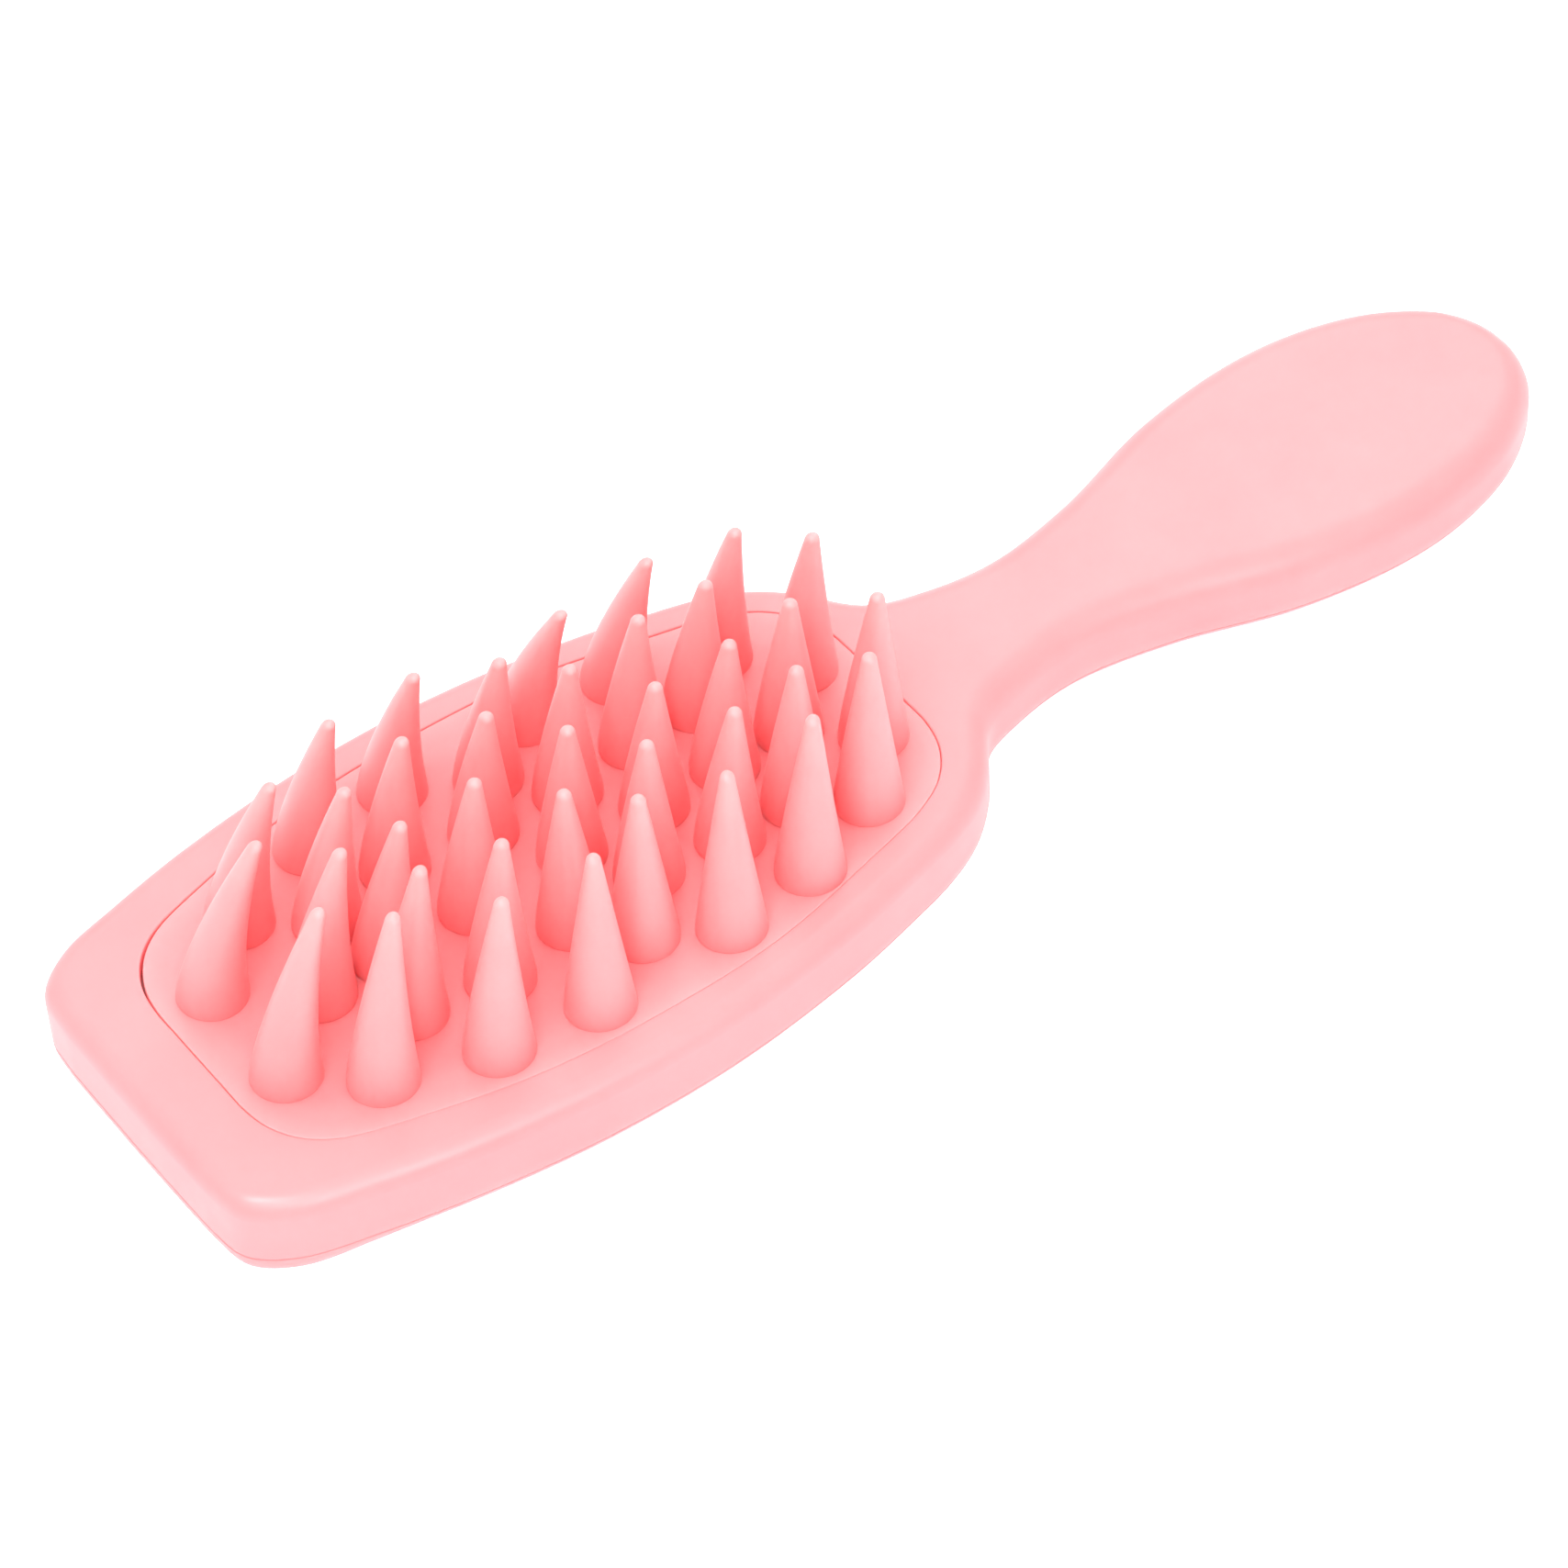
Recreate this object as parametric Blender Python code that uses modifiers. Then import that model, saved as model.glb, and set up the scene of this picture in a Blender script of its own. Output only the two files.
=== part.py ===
"""Scalp massager brush lying on its back: two joined shells, a soft pad and 37 blunt cones.

X runs along the brush from the blunt head to the handle's end, Z is up and the cones point up.
Sizes below are millimetres, and mm() turns them into metres.
"""

import math

import bmesh
import bpy

LENGTH = 230.0
HEIGHT = 13.6          # back face to the frame's top face
PARTING = 3.6          # height of the line where the two shells meet
WALL = 2.0
GAP = 0.3
TOP_EDGE = 3.6
BACK_EDGE = 5.4        # taller than the back shell, so its round runs on up the front shell

# Half-width of the body at stations along its length, front to handle end.
FRONT_EDGE = ((0.0, 0.0), (0.05, 9.0), (0.25, 17.4))
BODY = FRONT_EDGE + (
    (1.3, 23.4), (6.6, 27.8), (16.3, 30.7), (30.0, 33.7), (50.0, 36.1), (70.0, 36.1), (90.0, 33.5),
    (102.0, 30.7), (110.0, 28.4), (116.0, 25.6), (121.0, 21.4), (127.0, 14.1), (134.0, 11.5),
    (145.0, 10.0), (160.0, 12.5), (178.0, 18.2), (195.0, 20.5), (207.0, 19.6), (218.0, 16.1),
    (226.3, 10.0), (229.4, 4.2), (230.0, 0.0),
)
WINDOW = (
    (10.4, 0.0), (10.4, 5.5), (10.4, 11.2), (11.2, 15.0), (13.5, 19.0), (17.5, 22.1), (25.6, 24.9),
    (44.0, 29.1), (62.3, 30.4), (80.6, 29.6), (98.9, 25.6), (108.1, 23.1), (113.7, 20.1),
    (117.4, 15.7), (118.9, 10.9), (119.0, 5.4), (119.0, 0.0),
)

PAD_SINK = 0.3         # pad's top below the frame's top face
PAD_THICK = 3.4
FLANGE = 2.1           # how far the pad reaches under the frame
FLANGE_THICK = 1.4
PLATE_THICK = 2.0
PLATE_LAP = 1.8
POSTS = ((30.0, 8.0), (60.0, 16.0), (92.0, 10.0))
POST_RADIUS = 2.6

LIP_HEIGHT = 2.0
LIP_THICK = 1.2
BACK_FLOOR = 1.6

CONE_HEIGHT = 22.4     # of the blank; each cone is stretched to its own height
CONE_RADIUS = 4.8
TIP_RADIUS = 1.0
CONE_POWER = 1.15      # how the taper gathers towards the tip
LEAN_POWER = 1.5       # and how the lean does, which hooks the outer cones inward
ROOT_RADIUS = 3.0
CONE_SIDES = 10
RINGS = 4

# Mirrored pairs: foot x, foot y, how far the tip leans along X and inward, and the height.
PAIRS = (
    (18.2, 8.7, 8.7, 1.5, 23.5), (27.4, 17.0, 6.1, 2.9, 24.1), (36.6, 9.9, 4.5, 1.3, 22.7),
    (41.8, 22.2, 4.2, 2.6, 23.0), (48.8, 12.2, 2.9, 0.9, 22.8), (56.3, 24.0, 3.2, 3.8, 22.4),
    (61.5, 10.2, 1.5, 1.5, 22.2), (67.5, 17.8, 2.3, 2.3, 22.4), (74.4, 9.3, 1.7, 0.7, 22.6),
    (77.2, 23.6, 4.4, 5.2, 21.4), (86.3, 10.9, 2.2, 0.2, 22.3), (91.2, 22.1, 4.2, 3.8, 22.6),
    (96.9, 11.2, 2.0, 1.2, 22.7), (104.6, 17.0, 2.6, 2.3, 23.6), (112.2, 7.9, 2.1, 0.8, 24.2),
)
# Cones on the centre line: foot x, the tip's lean along X and the height.
CENTRES = (
    (29.0, 5.8, 22.9), (39.2, 4.6, 21.8), (53.0, 2.2, 22.2), (68.6, 1.1, 22.4), (81.9, 1.6, 21.5),
    (93.4, 2.0, 21.8), (104.0, 1.3, 23.1),
)

PAD_TOP = HEIGHT - PAD_SINK
PAD_FLOOR = PAD_TOP - PAD_THICK
FLANGE_TOP = PAD_FLOOR + FLANGE_THICK
PLATE_TOP = PAD_FLOOR - GAP


def mm(value):
    return value * 0.001


def clear_scene():
    for item in list(bpy.data.objects):
        bpy.data.objects.remove(item, do_unlink=True)


def new_collection(name):
    group = bpy.data.collections.new(name)
    bpy.context.scene.collection.children.link(group)
    return group


def material(name, colour, roughness):
    made = bpy.data.materials.new(name)
    made.use_nodes = True
    shader = made.node_tree.nodes["Principled BSDF"]
    shader.inputs["Base Color"].default_value = (*colour, 1.0)
    shader.inputs["Roughness"].default_value = roughness
    shader.inputs["Metallic"].default_value = 0.0
    return made


def evaluated_mesh(item, name):
    """The mesh that an object shows once its modifiers or curve settings are worked out."""
    depsgraph = bpy.context.evaluated_depsgraph_get()
    mesh = bpy.data.meshes.new_from_object(item.evaluated_get(depsgraph))
    mesh.name = name
    bpy.data.objects.remove(item, do_unlink=True)
    return mesh


def weld(mesh):
    made = bmesh.new()
    made.from_mesh(mesh)
    bmesh.ops.remove_doubles(made, verts=made.verts, dist=mm(0.002))
    bmesh.ops.recalc_face_normals(made, faces=made.faces)
    made.to_mesh(mesh)
    made.free()


def place(group, name, mesh, finish=None):
    item = bpy.data.objects.new(name, mesh)
    group.objects.link(item)
    if finish:
        mesh.materials.clear()
        mesh.materials.append(finish)
    return item


def slab(group, name, stations, low, high, inset=0.0, edge=0.0, finish=None):
    """A plate in the plan of the mirrored stations, with both rims rounded by edge."""
    curve = bpy.data.curves.new(name, "CURVE")
    curve.dimensions = "2D"
    curve.fill_mode = "BOTH"
    curve.resolution_u = 2
    inner = stations[1:-1]
    points = [stations[0], *inner, stations[-1], *((x, -y) for x, y in reversed(inner))]
    spline = curve.splines.new("BEZIER")
    spline.bezier_points.add(len(points) - 1)
    spline.use_cyclic_u = True
    for knot, (x, y) in zip(spline.bezier_points, points):
        knot.co = (mm(x - LENGTH / 2), mm(y), 0.0)
        knot.handle_left_type = "AUTO"
        knot.handle_right_type = "AUTO"
    curve.extrude = mm((high - low) / 2 - edge)
    curve.bevel_depth = mm(edge)
    curve.bevel_resolution = 3 if edge else 0
    curve.offset = mm(-inset - edge)
    item = bpy.data.objects.new(name, curve)
    group.objects.link(item)
    bpy.context.view_layer.update()
    mesh = evaluated_mesh(item, name)
    weld(mesh)
    made = place(group, name, mesh, finish)
    made.location.z = mm((low + high) / 2)
    return made


def cylinders(group, name, centres, radius, low, high, sides):
    """Upright cylinders in one mesh, one at each centre."""
    made = bmesh.new()
    for x, y in centres:
        ring = bmesh.ops.create_cone(
            made, cap_ends=True, segments=sides, radius1=mm(radius), radius2=mm(radius), depth=mm(high - low)
        )
        bmesh.ops.translate(made, verts=ring["verts"], vec=(mm(x - LENGTH / 2), mm(y), mm((low + high) / 2)))
    mesh = bpy.data.meshes.new(name)
    made.to_mesh(mesh)
    made.free()
    return place(group, name, mesh)


def block(group, name, low, high):
    """A box over the whole plan between two heights."""
    made = bmesh.new()
    bmesh.ops.create_cube(made, size=1.0)
    bmesh.ops.scale(made, verts=made.verts, vec=(mm(LENGTH + 40), mm(120), mm(high - low)))
    mesh = bpy.data.meshes.new(name)
    made.to_mesh(mesh)
    made.free()
    item = place(group, name, mesh)
    item.location.z = mm((low + high) / 2)
    return item


def boolean(item, operation, other):
    step = item.modifiers.new(f"{operation.lower()}_{other.name}", "BOOLEAN")
    step.operation = operation
    step.solver = "EXACT"
    step.object = other


def front_shell(parts, tools, finish):
    """Frame and upper handle half: a slab with unequal rounds, cut at the parting line and hollowed."""
    rise = HEIGHT - PARTING
    shell = slab(parts, "front_shell", BODY, PARTING - rise, HEIGHT, edge=TOP_EDGE, finish=finish)
    round_below = slab(tools, "back_round", BODY, 0.0, HEIGHT + 4 * BACK_EDGE, edge=BACK_EDGE)
    boolean(shell, "INTERSECT", round_below)
    hollow = slab(
        tools, "front_hollow", BODY, PARTING - rise + WALL, HEIGHT - WALL, inset=WALL, edge=TOP_EDGE - WALL
    )
    boolean(shell, "DIFFERENCE", block(tools, "below_parting", -20.0, PARTING))
    boolean(shell, "DIFFERENCE", hollow)
    boolean(shell, "DIFFERENCE", slab(tools, "window", WINDOW, PARTING, HEIGHT + 5.0))
    return shell


def back_shell(parts, tools, finish):
    """Shallow tray with a rounded back edge and a lip that locates inside the front shell."""
    tray = slab(parts, "back_shell", BODY, 0.0, 4 * BACK_EDGE, edge=BACK_EDGE, finish=finish)
    lip = slab(tools, "lip", BODY, PARTING - 1.2, PARTING + LIP_HEIGHT, inset=WALL + GAP)
    boolean(tray, "DIFFERENCE", block(tools, "above_parting", PARTING - GAP, 40.0))
    boolean(tray, "UNION", lip)
    hollow = slab(
        tools, "back_hollow", BODY, BACK_FLOOR, PARTING + 12.0, inset=WALL + GAP + LIP_THICK, edge=1.6
    )
    boolean(tray, "DIFFERENCE", hollow)
    return tray


def cone_feet():
    feet = [(x, side * y) for x, y, *_ in PAIRS for side in (1, -1)]
    return feet + [(x, 0.0) for x, *_ in CENTRES]


def pad(parts, tools, finish):
    """Soft pad: a plug in the window and a flange under the frame, with a hole for each cone's root."""
    plug = slab(parts, "bristle_pad", WINDOW, PAD_FLOOR, PAD_TOP, inset=GAP, finish=finish)
    flange = slab(tools, "pad_flange", WINDOW, PAD_FLOOR, FLANGE_TOP, inset=-FLANGE)
    holes = cylinders(
        tools, "root_holes", cone_feet(), ROOT_RADIUS + GAP, PAD_FLOOR - 2.0, PAD_TOP + 2.0, CONE_SIDES
    )
    boolean(plug, "UNION", flange)
    boolean(plug, "DIFFERENCE", holes)
    return plug


def backing_plate(parts, tools, finish):
    """Rigid plate behind the pad, on posts that stand on the back shell's floor."""
    plate = slab(
        parts, "backing_plate", WINDOW, PLATE_TOP - PLATE_THICK, PLATE_TOP, inset=-PLATE_LAP, finish=finish
    )
    feet = [(x, side * y) for x, y in POSTS for side in (1, -1)]
    posts = cylinders(
        tools, "posts", feet, POST_RADIUS, BACK_FLOOR + GAP, PLATE_TOP - PLATE_THICK / 2, CONE_SIDES
    )
    boolean(plate, "UNION", posts)
    return plate


def cone_profile():
    """Radius and height from the tip down the side, then in to the root and down to its end."""
    foot = PAD_TOP + GAP
    crown = foot + CONE_HEIGHT - TIP_RADIUS
    points = [(0.0, crown + TIP_RADIUS), (TIP_RADIUS * 0.72, crown + TIP_RADIUS * 0.7)]
    for ring in range(RINGS, -1, -1):
        part = ring / RINGS
        swell = CONE_RADIUS - (CONE_RADIUS - TIP_RADIUS) * part**CONE_POWER
        points.append((swell, foot + (crown - foot) * part))
    return points + [(ROOT_RADIUS, foot), (ROOT_RADIUS, PAD_FLOOR), (0.0, PAD_FLOOR)]


def straight_cone(group):
    """The cone turned about its axis, before it leans."""
    mesh = bpy.data.meshes.new("cone_profile")
    points = cone_profile()
    edges = [(step, step + 1) for step in range(len(points) - 1)]
    mesh.from_pydata([(mm(x), 0.0, mm(z)) for x, z in points], edges, [])
    item = bpy.data.objects.new("cone_profile", mesh)
    group.objects.link(item)
    turn = item.modifiers.new("turn", "SCREW")
    turn.axis = "Z"
    turn.angle = math.tau
    turn.steps = CONE_SIDES
    turn.render_steps = CONE_SIDES
    turn.use_merge_vertices = True
    turn.merge_threshold = mm(0.01)
    turn.use_smooth_shade = True
    bpy.context.view_layer.update()
    made = evaluated_mesh(item, "cone")
    weld(made)
    return made


def cone(parts, name, blank, foot, lean, height, finish):
    """One cone: the turned blank stretched to its height, bent over so that the tip leans."""
    mesh = blank.copy()
    low = mm(PAD_TOP + GAP)
    for vertex in mesh.vertices:
        climb = max(0.0, vertex.co.z - low) / mm(CONE_HEIGHT)
        vertex.co.x += mm(lean[0]) * climb**LEAN_POWER
        vertex.co.y += mm(lean[1]) * climb**LEAN_POWER
        vertex.co.z += mm(height - CONE_HEIGHT) * climb
    item = place(parts, name, mesh, finish)
    item.location.x = mm(foot[0] - LENGTH / 2)
    item.location.y = mm(foot[1])


def cones(parts, tools, finish):
    blank = straight_cone(tools)
    for number, (x, y, along, inward, height) in enumerate(PAIRS, 1):
        for side, word in ((1, "left"), (-1, "right")):
            name = f"cone_{number:02d}_{word}"
            cone(parts, name, blank, (x, side * y), (along, -side * inward), height, finish)
    for number, (x, along, height) in enumerate(CENTRES, 1):
        cone(parts, f"cone_centre_{number}", blank, (x, 0.0), (along, 0.0), height, finish)


def main():
    clear_scene()
    parts = new_collection("scalp_massager_brush")
    tools = new_collection("cutters")
    shell = material("shell_plastic", (0.93, 0.56, 0.57), 0.45)
    soft = material("pad_silicone", (0.90, 0.36, 0.38), 0.55)
    tip = material("cone_silicone", (0.93, 0.50, 0.51), 0.5)
    hidden = material("plate_plastic", (0.88, 0.50, 0.52), 0.6)
    front_shell(parts, tools, shell)
    back_shell(parts, tools, shell)
    pad(parts, tools, soft)
    backing_plate(parts, tools, hidden)
    cones(parts, tools, tip)
    for item in tools.objects:
        item.hide_render = True
        item.display_type = "WIRE"


main()
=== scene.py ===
import math

import bmesh
import bpy
import numpy as np
from mathutils import Matrix, Vector, geometry


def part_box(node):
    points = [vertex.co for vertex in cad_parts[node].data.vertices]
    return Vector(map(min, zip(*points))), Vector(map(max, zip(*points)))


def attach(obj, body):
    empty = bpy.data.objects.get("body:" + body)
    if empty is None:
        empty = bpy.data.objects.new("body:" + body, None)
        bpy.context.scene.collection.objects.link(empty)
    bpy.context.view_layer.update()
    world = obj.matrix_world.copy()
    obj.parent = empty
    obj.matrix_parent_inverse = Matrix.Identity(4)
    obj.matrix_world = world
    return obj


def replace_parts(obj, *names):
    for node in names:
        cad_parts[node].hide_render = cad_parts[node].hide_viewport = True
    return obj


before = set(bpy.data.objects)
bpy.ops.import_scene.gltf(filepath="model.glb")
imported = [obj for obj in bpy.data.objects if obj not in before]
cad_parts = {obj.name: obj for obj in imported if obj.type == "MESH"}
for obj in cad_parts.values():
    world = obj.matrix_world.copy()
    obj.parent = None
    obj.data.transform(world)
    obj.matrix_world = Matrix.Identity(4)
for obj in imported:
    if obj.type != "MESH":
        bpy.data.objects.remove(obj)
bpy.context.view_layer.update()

MM = 0.001
SHELL_LOW, SHELL_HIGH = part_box("front_shell")
PAD_LOW, PAD_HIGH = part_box("bristle_pad")
NOSE = SHELL_LOW.x          # the blunt head's front
TOP = SHELL_HIGH.z
SPLIT = SHELL_LOW.z         # the parting line's height
PAD_FACE = PAD_HIGH.z + 0.15 * MM       # the pad's rim stands a little proud of the CAD's

# Lengths are in millimetres from here to the materials.
BODY_POINTS = 480           # round the body's outline
WINDOW_POINTS = 360         # and round the window's
SPAN_POINTS = 24            # and from station to station, before they are spaced evenly
WALL = 2.0
TOP_ROUND = (3.0, 4.7)      # radius of the top rim at the head and at the handle
BACK_ROUND = (5.1, 5.9)     # and of the back rim
NOSE_ROUND = 2.9            # which is tighter across the blunt head
NOSE_FADE = (3.0, 25.0)     # where that starts to widen along the body, and over what length
NECK = (105.0, 30.0)        # the same for the change from the head's radii to the handle's
SPLIT_GAP = 0.2             # height of the parting groove
SPLIT_DEPTH = 0.3
SPLIT_EDGE = (0.06, 0.25)   # first two rings beside the groove
SIDE_RINGS = 8              # up the front cover's side
SIDE_STOP = 0.4             # and how far below the top rim they end
RIM_RINGS = (3, 18)         # round the top rim: first angle in degrees, and how many
BACK_RINGS = 12             # round the back rim
TOP_BORDER = (0.3, 0.8)     # rings just inside the top rim
WINDOW_BORDER = 0.9         # ring just outside the window
LIP_ROUND = 0.22            # edge of the window
LIP_STEP = 1.2              # ring part-way down the window's wall
BACK_BORDER = (1.0, 0.35)   # rings just inside the back rim
BACK_FLOOR = 1.6
TONGUE = (2.35, 3.5)        # insets of the back cover's locating tongue
TONGUE_RISE = 2.0
TONGUE_EDGE = (0.3, 0.25, 0.2)      # its bevel: height, outer inset and inner inset
PAD_ROUND = 0.18            # edge of the pad
PAD_SEAM = 0.08
SEAM_FRONT = (12.0, 10.0, 0.06)     # wider across the blunt end: from, over what length, how much
SEAM_CORNER = (13.0, 17.5, 8.0, 0.24)       # and at one corner: where, reach, how much
PAD_DISH = 0.5              # how far the pad sinks towards its middle
DISH_REACH = 0.625          # part of the way in from the rim where it stops sinking
PAD_SPINE = 28.0            # the rings shrink to a line that stops this far short of the ends
PAD_RINGS = (0.015, 40)     # where in from the rim the first ring is, and how many there are
FLANGE = (2.1, 1.4)         # how far the pad's flange reaches under the frame, and its thickness
PAD_SHADE_FADE = 8.0              # width of the pad's paler border: painted light at the rim, fading into painted shade further in
FOOT_RADIUS = 4.8
TIP_RADIUS = 1.05
TAPER = 1.12                # how the taper gathers towards the tip
LEAN = 1.5                  # and how the lean does, which hooks the outer cones inward
CONE_SIDES = 56
CONE_RINGS = (0.03, 26)     # where up the cone the first ring is, and how many there are
TIP_RINGS = (0.2, 0.12, 8)  # round the nose: first angle, how far short of the top, and how many
CONE_ROOT = ((0.1, -1.0), (0.03, -0.35), (0.02, 0.0))       # rings in the pad: drawn in, height

# Half-widths of the body and of the pad's window at stations from the blunt head.
BODY = (
    (0.0, 0.0), (0.03, 5.0), (0.06, 9.0), (0.12, 13.5), (0.25, 17.4), (1.3, 23.4), (6.6, 27.8),
    (16.3, 30.7), (30.0, 33.7), (50.0, 36.1), (70.0, 36.1), (90.0, 33.5), (102.0, 30.7), (110.0, 28.4),
    (116.0, 25.6), (121.0, 21.4), (127.0, 14.1), (134.0, 11.5), (145.0, 10.0), (160.0, 12.5),
    (178.0, 18.2), (195.0, 20.5), (207.0, 19.6), (218.0, 16.1), (226.3, 10.0), (229.4, 4.3), (230.0, 0.0),
)
WINDOW = (
    (10.4, 0.0), (10.4, 5.5), (10.45, 10.6), (11.3, 15.0), (13.6, 19.0), (17.5, 22.1), (25.6, 24.9),
    (44.0, 29.1), (62.3, 30.4), (80.6, 29.6), (98.9, 25.6), (108.1, 23.1), (113.7, 20.1), (117.3, 15.7),
    (118.8, 10.9), (119.0, 5.4), (119.0, 0.0),
)

# Shared red, and (position, green, blue) stops of each colour ramp.
RED = 0.99
PINK = ((0.0, 0.284, 0.296), (1.0, 0.296, 0.306))
# The pad's ramp is painted light and shade: paler at the rim as painted light, deeper coral towards the
# middle as painted shade from the cones.
PAD_PAINTED_SHADE = ((0.0, 0.322, 0.332), (0.45, 0.291, 0.301), (1.0, 0.255, 0.267))
# The cones' ramp is painted shade, deeper coral at the roots where the cones shade each other, and
# painted light, paler at the tips.
CONE_PAINTED_SHADE = ((0.0, 0.266, 0.276), (0.35, 0.309, 0.318), (0.70, 0.328, 0.335), (0.95, 0.360, 0.362))
DRIFT = 38.0                # scale of the slow drift of colour
MOTTLE = (55.0, 0.985, 1.015)       # scale and range of the mottle
POLISH = (140.0, 0.03)      # scale of the change in roughness, and how far it goes
BUMP = (0.05, 0.04)         # strength, and depth in millimetres
IOR = 1.42
BLEED = (1.0, 0.32, 0.30)   # how far each colour travels under the surface

FLOOR_SIZE = 3.0            # half its side, in metres
FLOOR_DROP = 0.1            # millimetres below the brush's back
FLOOR_WHITE = (0.78, 0.79, 0.82, 1.0)
FLOOR_GLOW = 0.60
SKY = (0.60, 1.48)          # strength at the horizon and overhead
SKY_FULL = 0.9              # sine of the height where it is brightest
WHITE = (1.0, 1.0, 1.0, 1.0)
# Name, place, aim, width, height, watts, and whether it only shows as a highlight.
LIGHTS = (
    ("key", (0.55, 0.50, 0.80), (0.03, 0.0, 0.0), 0.8, 0.8, 4.0, False),
    ("fill", (-0.55, -0.50, 0.92), (-0.05, 0.0, 0.0), 0.6, 0.6, 6.4, False),
    ("corner_glint", (-0.40, -0.04, 1.07), (-0.11, -0.02, 0.0), 0.06, 0.06, 10.0, True),
    ("near_glint", (-0.10, -0.62, 0.547), (-0.06, -0.03, 0.0), 0.38, 0.40, 4.4, True),
)
CAMERA_PLACE = (-0.3107, -0.4437, 0.5738)
CAMERA_AIM = (-0.0159, -0.0052, 0.0100)
CAMERA_ROLL = -3.455        # degrees
CAMERA_LENS = 133.35


# ---------------------------------------------------------------- outlines

def catmull(p0, p1, p2, p3, count):
    """Points from p1 towards p2 on a centripetal Catmull-Rom curve."""
    knots = [0.0]
    for a, b in ((p0, p1), (p1, p2), (p2, p3)):
        knots.append(knots[-1] + max(1e-9, np.linalg.norm(b - a)) ** 0.5)
    t0, t1, t2, t3 = knots
    t = np.linspace(t1, t2, count, endpoint=False)[:, None]
    a1 = (t1 - t) / (t1 - t0) * p0 + (t - t0) / (t1 - t0) * p1
    a2 = (t2 - t) / (t2 - t1) * p1 + (t - t1) / (t2 - t1) * p2
    a3 = (t3 - t) / (t3 - t2) * p2 + (t - t2) / (t3 - t2) * p3
    b1 = (t2 - t) / (t2 - t0) * a1 + (t - t0) / (t2 - t0) * a2
    b2 = (t3 - t) / (t3 - t1) * a2 + (t - t1) / (t3 - t1) * a3
    return (t2 - t) / (t2 - t1) * b1 + (t - t1) / (t2 - t1) * b2


def outline(stations, count):
    """A smooth closed loop through the mirrored stations, evenly spaced, in metres."""
    inner = stations[1:-1]
    knots = [stations[0], *inner, stations[-1], *((x, -y) for x, y in reversed(inner))]
    knots = np.array([(NOSE + x * MM, y * MM) for x, y in knots])
    n = len(knots)
    dense = np.concatenate([
        catmull(knots[i - 1], knots[i], knots[(i + 1) % n], knots[(i + 2) % n], SPAN_POINTS)
        for i in range(n)
    ])
    closed = np.vstack([dense, dense[:1]])
    run = np.concatenate([[0.0], np.cumsum(np.linalg.norm(np.diff(closed, axis=0), axis=1))])
    at = np.linspace(0.0, run[-1], count, endpoint=False)
    return np.stack([np.interp(at, run, closed[:, k]) for k in (0, 1)], axis=1)


def offset(loop, inset):
    """The loop moved inward by inset mm, or outward if it is negative."""
    along = np.roll(loop, -1, axis=0) - np.roll(loop, 1, axis=0)
    along /= np.linalg.norm(along, axis=1)[:, None]
    inward = np.stack([along[:, 1], -along[:, 0]], axis=1)
    return loop + inward * (np.broadcast_to(inset, len(loop)) * MM)[:, None]


def level(loop, inset, z):
    """The loop drawn in by inset mm, at height z in metres."""
    flat = offset(loop, inset)
    return np.column_stack([flat, np.broadcast_to(z, len(flat))])


def ease(value):
    """From 0 to 1, smooth at both ends."""
    part = np.clip(value, 0.0, 1.0)
    return part * part * (3.0 - 2.0 * part)


def along_body(loop, head, handle):
    """A value that eases from the head's to the handle's along the neck, at each point of a loop."""
    part = ease(((loop[:, 0] - NOSE) / MM - NECK[0]) / NECK[1])
    return head + (handle - head) * part


def back_round(loop):
    """Radius of the back rim, which is tighter across the blunt head."""
    nose = ease(((loop[:, 0] - NOSE) / MM - NOSE_FADE[0]) / NOSE_FADE[1])
    return along_body(loop, *BACK_ROUND) - (BACK_ROUND[0] - NOSE_ROUND) * (1.0 - nose)


def wall(loop, height):
    """How far the body's wall is drawn in at a height in mm: rounded below and, more tightly, above."""
    above = along_body(loop, *TOP_ROUND)
    below = back_round(loop)
    rise = np.clip(height - (TOP / MM - above), 0.0, above)
    drop = np.clip(below - height, 0.0, below)
    return above - np.sqrt(above**2 - rise**2) + below - np.sqrt(below**2 - drop**2)


# ---------------------------------------------------------------- mesh building

class Skin:
    """Rings of points joined into one surface."""

    def __init__(self):
        self.verts = []
        self.faces = []

    def ring(self, points):
        """Adds a ring of points and returns their numbers."""
        start = len(self.verts)
        self.verts.extend(tuple(float(c) for c in p) for p in points)
        return list(range(start, start + len(points)))

    def join(self, low, high):
        """A band of faces between two rings of the same count."""
        n = len(low)
        for i in range(n):
            j = (i + 1) % n
            self.faces.append((low[i], low[j], high[j], high[i]))

    def sweep(self, rings):
        """Adds rings and joins each to the next."""
        ids = [self.ring(r) for r in rings]
        for a, b in zip(ids, ids[1:]):
            self.join(a, b)
        return ids

    def flat(self, outer, *holes):
        """Fills a flat face between an outer ring and its holes."""
        loops = [outer, *holes]
        order = [i for loop in loops for i in loop]
        shapes = [[Vector(self.verts[i]) for i in loop] for loop in loops]
        for tri in geometry.tessellate_polygon(shapes):
            self.faces.append(tuple(order[i] for i in tri))

    def cap(self, ring, point):
        """Closes a ring with a fan to one point."""
        top = self.ring([point])[0]
        for i, j in zip(ring, ring[1:] + ring[:1]):
            self.faces.append((i, j, top))

    def build(self, name, material):
        """The finished object, riding on the root body."""
        mesh = bpy.data.meshes.new(name)
        mesh.from_pydata(self.verts, [], self.faces)
        made = bmesh.new()
        made.from_mesh(mesh)
        bmesh.ops.remove_doubles(made, verts=made.verts, dist=1e-6)
        bmesh.ops.recalc_face_normals(made, faces=made.faces)
        made.to_mesh(mesh)
        made.free()
        for face in mesh.polygons:
            face.use_smooth = True
        mesh.materials.append(material)
        item = bpy.data.objects.new(name, mesh)
        bpy.context.scene.collection.objects.link(item)
        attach(item, "root")
        return item


# ---------------------------------------------------------------- materials

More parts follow.
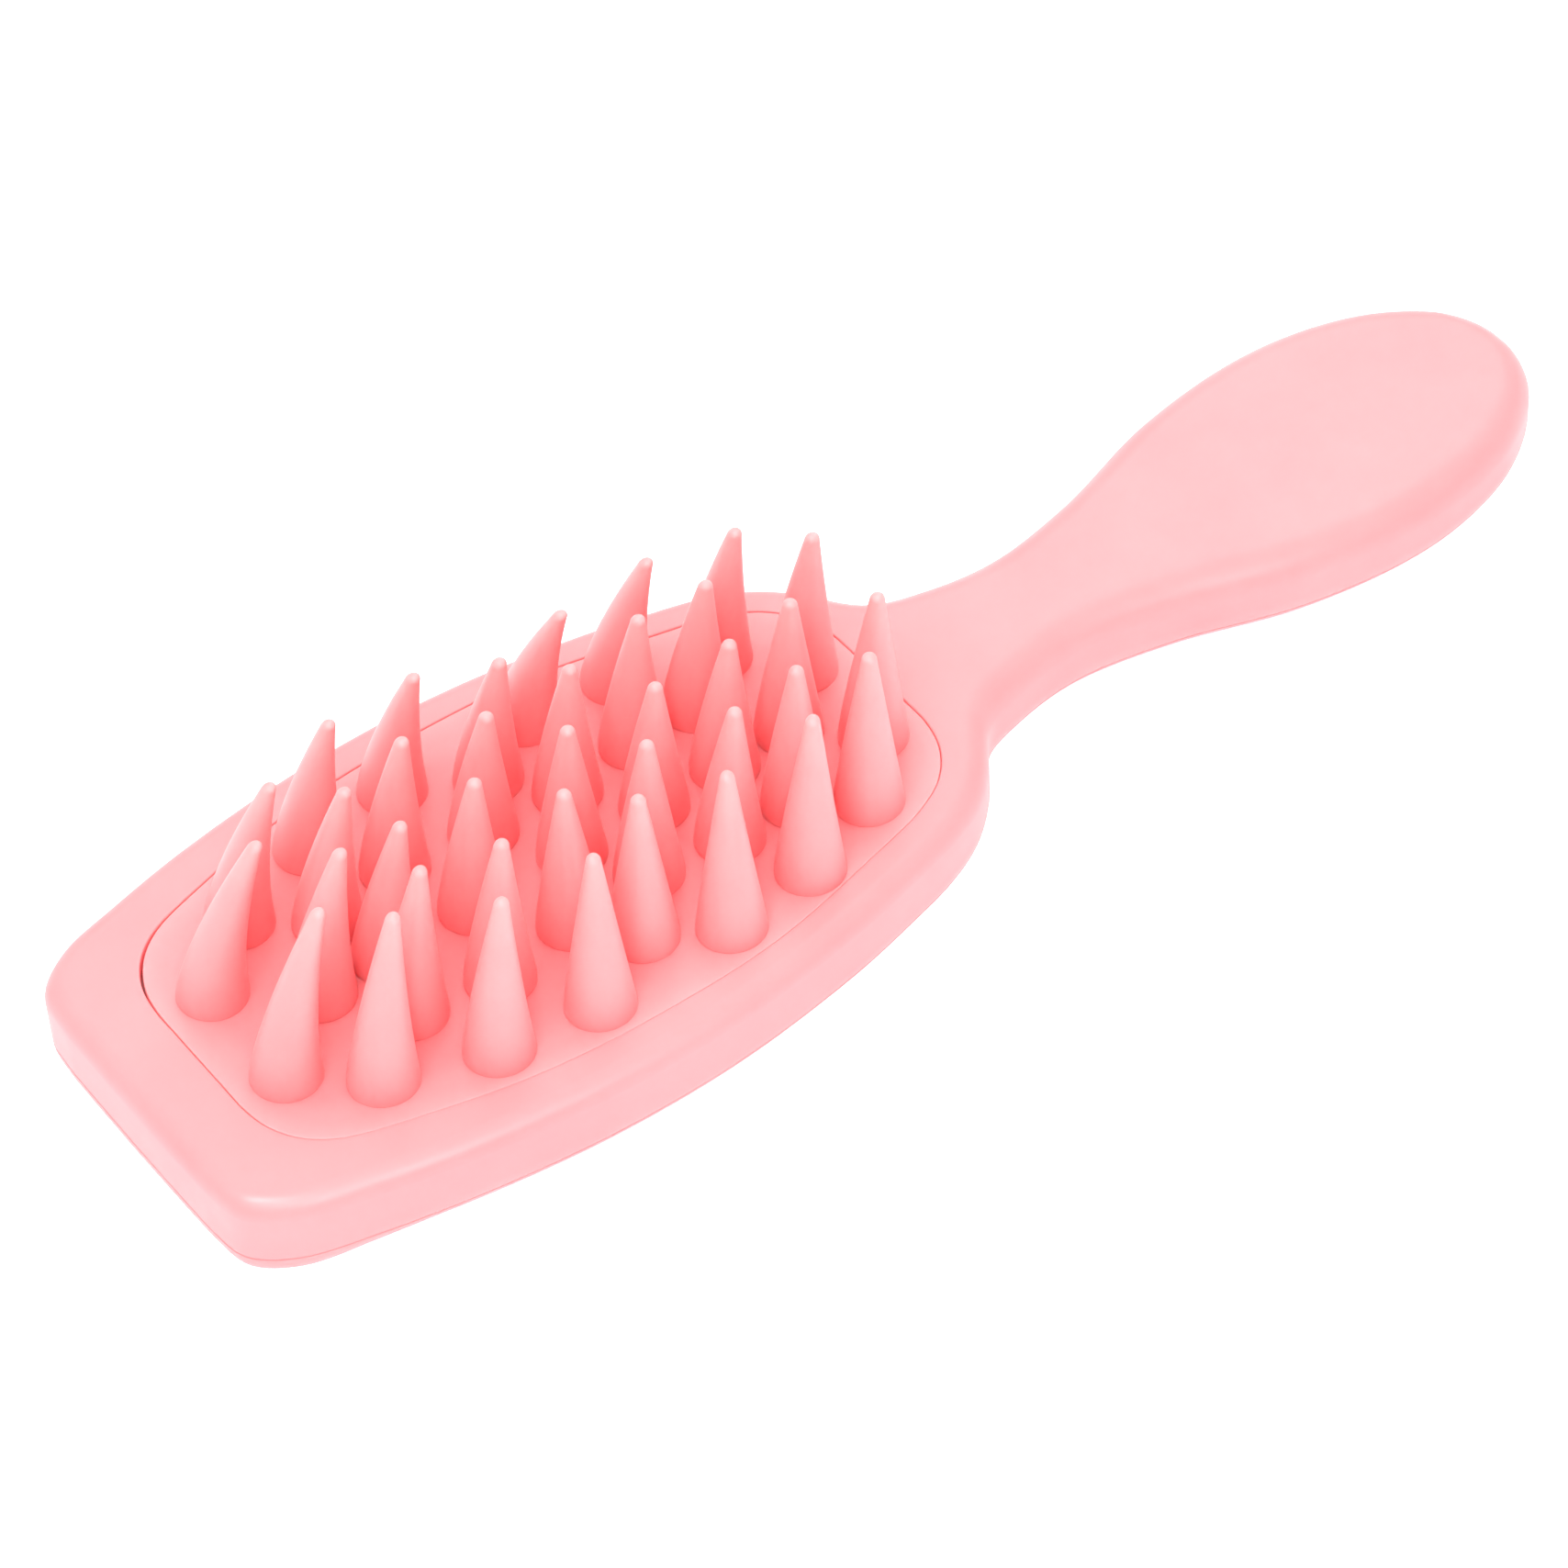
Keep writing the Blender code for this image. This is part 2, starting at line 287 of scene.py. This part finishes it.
class Nodes:
    """A material's node tree, with short calls to add, link and set."""

    def __init__(self, name):
        self.material = bpy.data.materials.new(name)
        self.material.use_nodes = True
        self.tree = self.material.node_tree
        self.shader = self.tree.nodes["Principled BSDF"]

    def add(self, kind, **values):
        node = self.tree.nodes.new(kind)
        for key, value in values.items():
            node.inputs[key.replace("_", " ")].default_value = value
        return node

    def link(self, a, out, b, into):
        self.tree.links.new(a.outputs[out], b.inputs[into])

    def set(self, **values):
        for key, value in values.items():
            self.shader.inputs[key.replace("_", " ")].default_value = value

    def cloud(self, scale, low, high, detail=3.0):
        """Noise through the object's own space, mapped to a range."""
        place = self.add("ShaderNodeTexCoord")
        noise = self.add("ShaderNodeTexNoise", Scale=scale, Detail=detail, Roughness=0.6)
        span = self.add("ShaderNodeMapRange", From_Min=0.3, From_Max=0.7, To_Min=low, To_Max=high)
        self.link(place, "Object", noise, "Vector")
        self.link(noise, "Fac", span, "Value")
        return span


def mottled(m):
    """A slow drift over the whole moulding."""
    return m.cloud(DRIFT, 0.0, 1.0), "Result"


def painted_shade_up_the_cone(m):
    """From 0 at a cone's root to 1 at its tip, for the cones' painted shade at the root and painted light
    at the tip.
    """
    place = m.add("ShaderNodeTexCoord")
    split = m.add("ShaderNodeSeparateXYZ")
    m.link(place, "Generated", split, "Vector")
    return split, "Z"


def painted_shade_in_from_rim(m):
    """From 0 at the pad's rim to 1 past its border, for the pad's painted light and shade."""
    rim = m.add("ShaderNodeAttribute")
    rim.attribute_name = "rim"
    return rim, "Fac"


def moulded(name, factor, stops, roughness, scatter, reach, grain, sheen=0.0):
    """Pigmented moulding: colour stops, which on the pad and the cones also hold painted shade and
    painted light, a faint mottle, and a satin surface with a fine grain.
    """
    m = Nodes(name)
    node, out = factor(m)
    tint = m.add("ShaderNodeValToRGB")
    tint.color_ramp.interpolation = "EASE"
    while len(tint.color_ramp.elements) < len(stops):
        tint.color_ramp.elements.new(0.5)
    for stop, (at, green, blue) in zip(tint.color_ramp.elements, stops):
        stop.position = at
        stop.color = (RED, green, blue, 1.0)
    m.link(node, out, tint, "Fac")
    shade = m.add("ShaderNodeHueSaturation")
    m.link(tint, "Color", shade, "Color")
    m.link(m.cloud(*MOTTLE), "Result", shade, "Saturation")
    m.link(shade, "Color", m.shader, "Base Color")
    scale, change = POLISH
    m.link(m.cloud(scale, roughness - change, roughness + change, 4.0), "Result", m.shader, "Roughness")
    bump = m.add("ShaderNodeBump", Strength=BUMP[0], Distance=BUMP[1] * MM)
    m.link(m.cloud(grain, 0.0, 1.0, 2.0), "Result", bump, "Height")
    m.link(bump, "Normal", m.shader, "Normal")
    m.set(IOR=IOR, Subsurface_Weight=scatter, Subsurface_Scale=reach * MM, Subsurface_Radius=BLEED)
    m.set(Sheen_Weight=sheen, Sheen_Roughness=0.5, Sheen_Tint=(1.0, 0.9, 0.9, 1.0))
    return m.material


# ---------------------------------------------------------------- body

def quarter(radius, steps):
    """A quarter round from flat to upright: (inset, drop below the flat) at each step."""
    turns = np.linspace(0.0, math.pi / 2, steps)
    return [(radius * (1 - math.sin(a)), radius * (1 - math.cos(a))) for a in turns]


def front_cover(material):
    """Upper shell: wall, top rim, top face with the window's lip, and the hollow inside."""
    body = outline(BODY, BODY_POINTS)
    window = outline(WINDOW, WINDOW_POINTS)
    above = along_body(body, *TOP_ROUND)
    split = SPLIT / MM
    rings = [level(body, wall(body, split) + SPLIT_DEPTH, SPLIT)]
    side = np.linspace(split + SPLIT_EDGE[1], TOP / MM - max(TOP_ROUND) - SIDE_STOP, SIDE_RINGS)
    for height in [split + SPLIT_EDGE[0], *side]:
        rings.append(level(body, wall(body, height), height * MM))
    for turn in np.radians(np.linspace(RIM_RINGS[0], 90, RIM_RINGS[1])):
        lift = TOP - above * MM * (1 - math.sin(turn))
        rings.append(level(body, above * (1 - math.cos(turn)), lift))
    rings += [level(body, above + border, TOP) for border in TOP_BORDER]
    skin = Skin()
    outer = skin.sweep(rings)
    lip = [level(window, -WINDOW_BORDER, TOP)]
    lip += [level(window, -i, TOP - d * MM) for i, d in quarter(LIP_ROUND, 7)]
    lip += [level(window, 0.0, TOP - LIP_STEP * MM), level(window, 0.0, TOP - WALL * MM)]
    mouth = skin.sweep(lip)
    skin.flat(outer[-1], mouth[0])
    hollow = [level(body, WALL + i, TOP - (WALL + d) * MM) for i, d in quarter(WALL, 7)]
    hollow.append(level(body, WALL, SPLIT))
    inner = skin.sweep(hollow)
    skin.flat(inner[0], mouth[-1])
    skin.join(inner[-1], outer[0])
    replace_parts(skin.build("front_cover", material), "front_shell")


def back_cover(material):
    """Lower shell: rounded back, parting groove, and the tongue that locates inside the upper shell."""
    body = outline(BODY, BODY_POINTS)
    below = back_round(body)
    seam = SPLIT / MM - SPLIT_GAP
    rings = [level(body, below + border, 0.0) for border in BACK_BORDER]
    side = (seam - SPLIT_EDGE[1]) * np.linspace(0.0, 1.0, BACK_RINGS) ** 2
    for height in [*side, seam - SPLIT_EDGE[0]]:
        rings.append(level(body, wall(body, height), height * MM))
    rings.append(level(body, wall(body, seam) + SPLIT_DEPTH, seam * MM))
    skin = Skin()
    outer = skin.sweep(rings)
    skin.flat(outer[0])
    outside, inside = TONGUE
    tip = SPLIT / MM + TONGUE_RISE
    bevel, outer_bevel, inner_bevel = TONGUE_EDGE
    steps = [(outside, seam), (outside, tip - bevel), (outside + outer_bevel, tip)]
    steps += [(inside - inner_bevel, tip), (inside, tip - bevel), (inside, 2 * BACK_FLOOR)]
    steps += [(inside + i, BACK_FLOOR + d) for i, d in reversed(quarter(BACK_FLOOR, 6))]
    tongue = skin.sweep([level(body, inset, height * MM) for inset, height in steps])
    skin.join(outer[-1], tongue[0])
    skin.flat(tongue[-1])
    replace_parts(skin.build("back_cover", material), "back_shell")


# ---------------------------------------------------------------- pad and cones

def pad_seam(window):
    """The gap round the pad, which opens across the blunt end and most at its far corner."""
    along = (window[:, 0] - NOSE) / MM
    start, length, front_extra = SEAM_FRONT
    front = 1.0 - ease((along - start) / length)
    x, y, reach, corner_extra = SEAM_CORNER
    corner = np.exp(-(np.hypot(along - x, window[:, 1] / MM - y) / reach) ** 2)
    return PAD_SEAM + front_extra * front + corner_extra * corner


def dish(part):
    """How far the pad's face lies under its rim, from the rim (0) to the middle (1)."""
    return PAD_DISH * MM * (1 - (1 - min(1.0, part / DISH_REACH)) ** 2)


def mark_painted_shade(item, window):
    """Stores how far each point lies in from the window's edge, for the pad's painted shade: paler at the
    rim, deeper coral towards the middle.
    """
    points = np.array([v.co[:2] for v in item.data.vertices])
    gaps = [np.linalg.norm(window - p, axis=1).min() for p in points]
    rim = item.data.attributes.new("rim", "FLOAT", "POINT")
    rim.data.foreach_set("value", np.clip(np.array(gaps) / (PAD_SHADE_FADE * MM), 0.0, 1.0))


def pad_skin(material):
    """Soft pad: a shallow dish with a small rounded edge, and the flange under the frame."""
    window = outline(WINDOW, WINDOW_POINTS)
    gap = pad_seam(window)
    under = PAD_LOW.z + FLANGE[1] * MM
    rings = [level(window, gap, under)]
    rings += [level(window, gap + i, PAD_FACE - d * MM) for i, d in reversed(quarter(PAD_ROUND, 6))]
    start = offset(window, gap + PAD_ROUND)
    spine = PAD_SPINE * MM
    middle = np.clip(start[:, 0], start[:, 0].min() + spine, start[:, 0].max() - spine)
    centre = np.column_stack([middle, np.zeros(len(start))])
    for part in np.linspace(PAD_RINGS[0], 1.0, PAD_RINGS[1]):
        flat = start + (centre - start) * part
        rings.append(np.column_stack([flat, np.full(len(flat), PAD_FACE - dish(part))]))
    skin = Skin()
    outer = skin.sweep(rings)
    flange = [(-FLANGE[0], under), (-FLANGE[0], PAD_LOW.z), (0.0, PAD_LOW.z)]
    lower = skin.sweep([level(window, inset, z) for inset, z in flange])
    skin.join(outer[0], lower[0])
    skin.flat(lower[-1])
    item = skin.build("pad_skin", material)
    mark_painted_shade(item, window)
    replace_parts(item, "bristle_pad")


def cad_cones():
    """Foot and tip of every CAD cone, read from its mesh."""
    for name, node in sorted(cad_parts.items()):
        if name.startswith("cone_"):
            points = np.array([v.co for v in node.data.vertices])
            base = points[points[:, 2] < points[:, 2].min() + 0.5 * MM]
            yield name, base.mean(axis=0), points[points[:, 2].argmax()]


def bristle(name, foot, tip, material):
    """A finely turned cone with a round nose, hooked over towards its CAD tip."""
    height = tip[2] - PAD_FACE
    crown = height / MM - TIP_RADIUS
    rows = [(FOOT_RADIUS - inset, h) for inset, h in CONE_ROOT]
    for part in np.linspace(CONE_RINGS[0], 1.0, CONE_RINGS[1]):
        rows.append((FOOT_RADIUS - (FOOT_RADIUS - TIP_RADIUS) * part**TAPER, crown * part))
    first, short, count = TIP_RINGS
    for turn in np.linspace(first, math.pi / 2 - short, count):
        rows.append((TIP_RADIUS * math.cos(turn), crown + TIP_RADIUS * math.sin(turn)))
    turn = np.linspace(0.0, math.tau, CONE_SIDES, endpoint=False)
    rings = []
    for radius, h in rows:
        rise = max(0.0, h * MM / height) ** LEAN
        x = foot[0] + (tip[0] - foot[0]) * rise + radius * MM * np.cos(turn)
        y = foot[1] + (tip[1] - foot[1]) * rise + radius * MM * np.sin(turn)
        rings.append(np.column_stack([x, y, np.full(CONE_SIDES, PAD_FACE + h * MM)]))
    skin = Skin()
    ids = skin.sweep(rings)
    skin.flat(ids[0])
    skin.cap(ids[-1], tip)
    return skin.build(name, material)


# ---------------------------------------------------------------- studio

def floor():
    """A plain white sheet that glows a little, so that it renders pure white."""
    size = FLOOR_SIZE
    mesh = bpy.data.meshes.new("floor")
    around = ((-size, -size), (size, -size), (size, size), (-size, size))
    mesh.from_pydata([(x, y, -FLOOR_DROP * MM) for x, y in around], [], [(0, 1, 2, 3)])
    m = Nodes("floor_white")
    m.set(Base_Color=FLOOR_WHITE, Roughness=0.9, Emission_Color=WHITE, Emission_Strength=FLOOR_GLOW)
    mesh.materials.append(m.material)
    item = bpy.data.objects.new("floor", mesh)
    bpy.context.scene.collection.objects.link(item)


def sky():
    """A white tent that is brighter overhead than at the horizon."""
    world = bpy.data.worlds.new("studio")
    world.use_nodes = True
    tree = world.node_tree
    place = tree.nodes.new("ShaderNodeTexCoord")
    split = tree.nodes.new("ShaderNodeSeparateXYZ")
    ramp = tree.nodes.new("ShaderNodeMapRange")
    ramp.interpolation_type = "SMOOTHSTEP"
    ramp.inputs["From Max"].default_value = SKY_FULL
    ramp.inputs["To Min"].default_value = SKY[0]
    ramp.inputs["To Max"].default_value = SKY[1]
    tree.links.new(place.outputs["Generated"], split.inputs["Vector"])
    tree.links.new(split.outputs["Z"], ramp.inputs["Value"])
    tree.links.new(ramp.outputs["Result"], tree.nodes["Background"].inputs["Strength"])
    tree.nodes["Background"].inputs["Color"].default_value = WHITE
    bpy.context.scene.world = world


def panel(name, place, aim, width, height, power, glint):
    """A softbox, or a light that only shows as a highlight."""
    light = bpy.data.lights.new(name, "AREA")
    light.shape = "RECTANGLE"
    light.size = width
    light.size_y = height
    light.energy = power
    item = bpy.data.objects.new(name, light)
    bpy.context.scene.collection.objects.link(item)
    item.location = place
    item.rotation_euler = (Vector(aim) - Vector(place)).to_track_quat("-Z", "Y").to_euler()
    item.visible_diffuse = not glint


def camera():
    """A long lens on the blunt head's near side, looking down at the cones."""
    data = bpy.data.cameras.new("camera")
    data.sensor_fit = "HORIZONTAL"
    data.sensor_width = 36.0
    data.lens = CAMERA_LENS
    data.clip_start = 0.01
    item = bpy.data.objects.new("camera", data)
    bpy.context.scene.collection.objects.link(item)
    place = Vector(CAMERA_PLACE)
    turn = (Vector(CAMERA_AIM) - place).to_track_quat("-Z", "Y").to_matrix().to_4x4()
    roll = Matrix.Rotation(math.radians(CAMERA_ROLL), 4, "Z")
    item.matrix_world = Matrix.Translation(place) @ turn @ roll
    bpy.context.scene.camera = item


# ---------------------------------------------------------------- main

SHELL = moulded("shell_pink", mottled, PINK, roughness=0.40, scatter=0.25, reach=1.5, grain=2600.0)
SILICONE = {"reach": 3.0, "grain": 2200.0, "sheen": 0.05}
PAD = moulded("pad_silicone", painted_shade_in_from_rim, PAD_PAINTED_SHADE, roughness=0.45, scatter=0.5, **SILICONE)
CONE = moulded("cone_silicone", painted_shade_up_the_cone, CONE_PAINTED_SHADE, roughness=0.42, scatter=0.6, **SILICONE)
PLATE = moulded("plate_plastic", mottled, PINK, roughness=0.6, scatter=0.0, reach=1.0, grain=1800.0)

front_cover(SHELL)
back_cover(SHELL)
pad_skin(PAD)
for name, foot, tip in cad_cones():
    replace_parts(bristle(name.replace("cone", "bristle"), foot, tip, CONE), name)
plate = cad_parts["backing_plate"]
plate.data.materials.clear()
plate.data.materials.append(PLATE)

floor()
sky()
for light in LIGHTS:
    panel(*light)
camera()
bpy.context.scene.view_settings.view_transform = "Standard"
